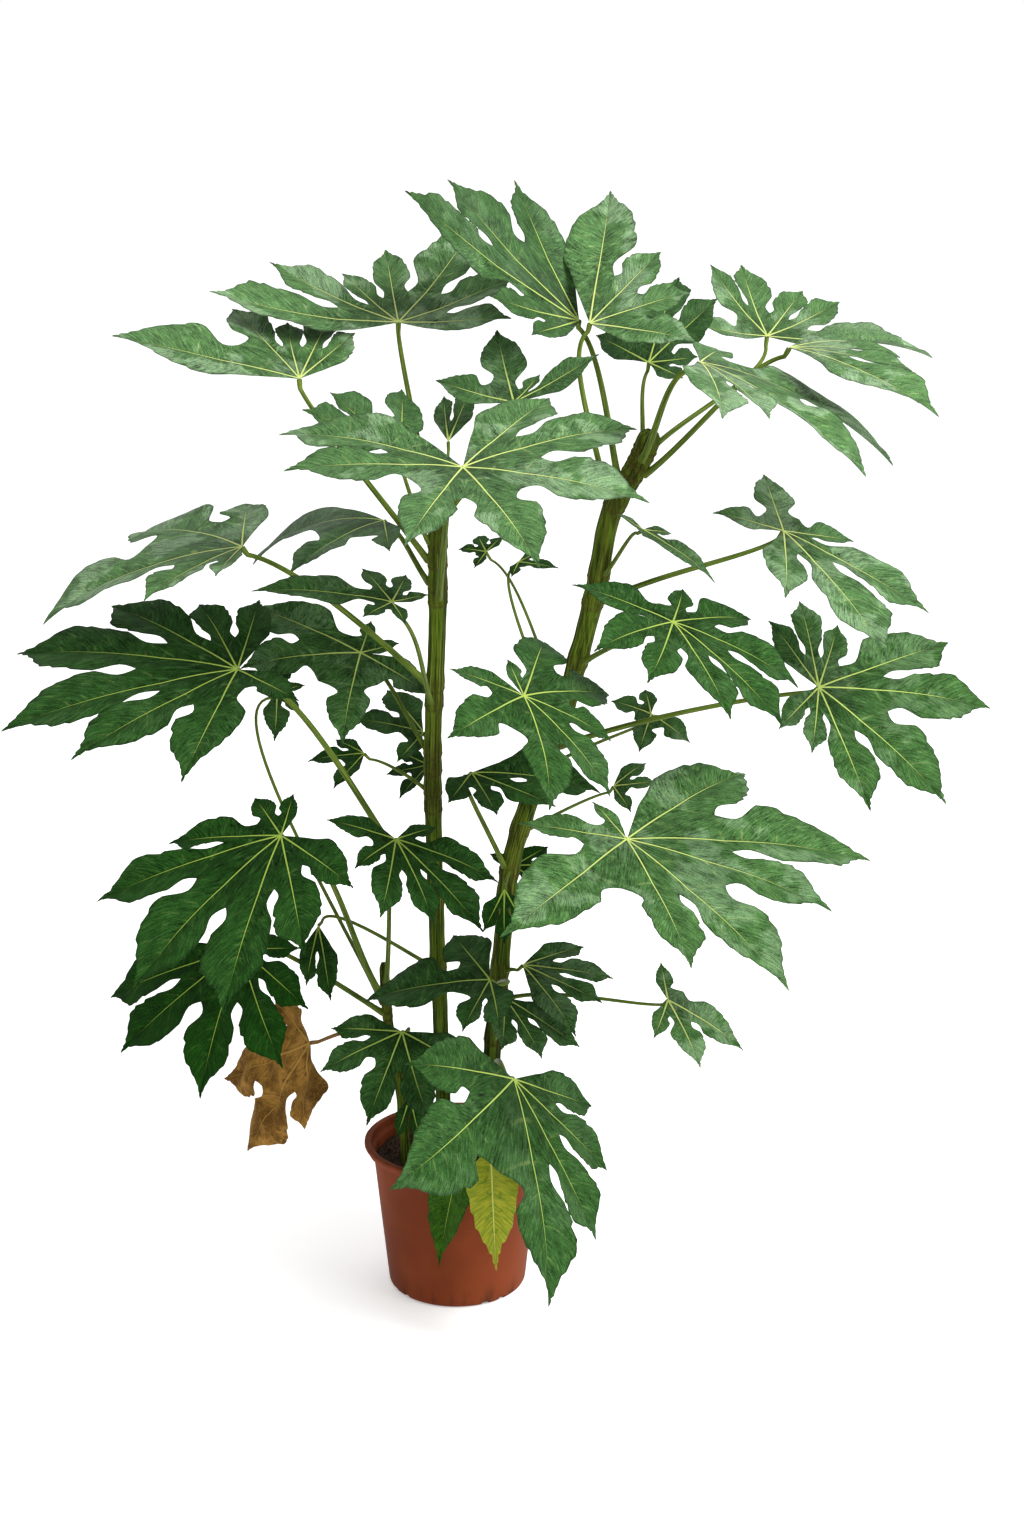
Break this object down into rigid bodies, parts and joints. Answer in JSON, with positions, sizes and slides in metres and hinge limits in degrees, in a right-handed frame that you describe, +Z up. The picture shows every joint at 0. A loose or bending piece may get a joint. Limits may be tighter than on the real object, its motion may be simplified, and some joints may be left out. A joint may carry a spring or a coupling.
{
  "type": "potted foliage plant",
  "caption": "Fatsia japonica with large palmate lobed leaves on long stalks, standing in soil in a round terracotta-coloured plastic pot.",
  "frame": {"origin": "centre of the pot's underside", "axes": "+Z up along the stems; the front of the plant faces -Y"},
  "size_m": [1.0725, 0.6391, 1.2395],
  "materials": {
    "pot_terracotta": "satin moulded plastic",
    "soil_dark": "loose potting soil",
    "stem_bark": "green bark with leaf scars",
    "leaf_light": "leathery, soft sheen",
    "leaf_dark": "leathery, soft sheen",
    "leaf_yellowing": "matte ageing leaf",
    "leaf_dried": "dry papery leaf"
  },
  "bodies": {
    "root": {"leaf_ageing": "leaf_yellowing", "leaf_behind_left_stem": "leaf_dark", "leaf_crown_centre": "leaf_light", "leaf_crown_left": "leaf_light", "leaf_crown_right": "leaf_light", "leaf_crown_under": "leaf_light", "leaf_dry_brown": "leaf_dried", "leaf_high_left": "leaf_light", "leaf_high_right_back": "leaf_light", "leaf_high_right_end": "leaf_light", "leaf_high_right_front": "leaf_light", "leaf_inner_dark": "leaf_dark", "leaf_inner_least": "leaf_dark", "leaf_inner_left": "leaf_dark", "leaf_inner_left_small": "leaf_dark", "leaf_inner_slender": "leaf_dark", "leaf_inner_small": "leaf_dark", "leaf_inner_upper": "leaf_dark", "leaf_low_behind": "leaf_dark", "leaf_low_centre": "leaf_dark", "leaf_low_front": "leaf_dark", "leaf_low_left_large": "leaf_dark", "leaf_low_left_small": "leaf_dark", "leaf_low_left_under": "leaf_dark", "leaf_low_middle": "leaf_dark", "leaf_low_over_stem": "leaf_dark", "leaf_low_right": "leaf_dark", "leaf_low_right_under": "leaf_dark", "leaf_middle_front": "leaf_dark", "leaf_middle_left_hidden": "leaf_dark", "leaf_middle_left_high": "leaf_light", "leaf_middle_left_inner": "leaf_dark", "leaf_middle_left_large": "leaf_dark", "leaf_middle_left_small": "leaf_dark", "leaf_middle_right_inner": "leaf_dark", "leaf_over_pot_large": "leaf_dark", "leaf_over_pot_small": "leaf_dark", "leaf_pot_mouth": "leaf_dark", "leaf_right_far": "leaf_dark", "leaf_right_front_large": "leaf_dark", "leaf_right_high": "leaf_light", "leaf_right_low": "leaf_dark", "leaf_right_slender": "leaf_light", "leaf_upper_back": "leaf_light", "leaf_upper_front": "leaf_light", "leaf_upper_left_arching": "leaf_light", "leaf_upper_left_back": "leaf_light", "leaf_upper_young": "leaf_light", "pot": "pot_terracotta", "soil": "soil_dark", "stem_left": "stem_bark", "stem_right": "stem_bark", "stem_short": "stem_bark"}
  },
  "joints": []
}
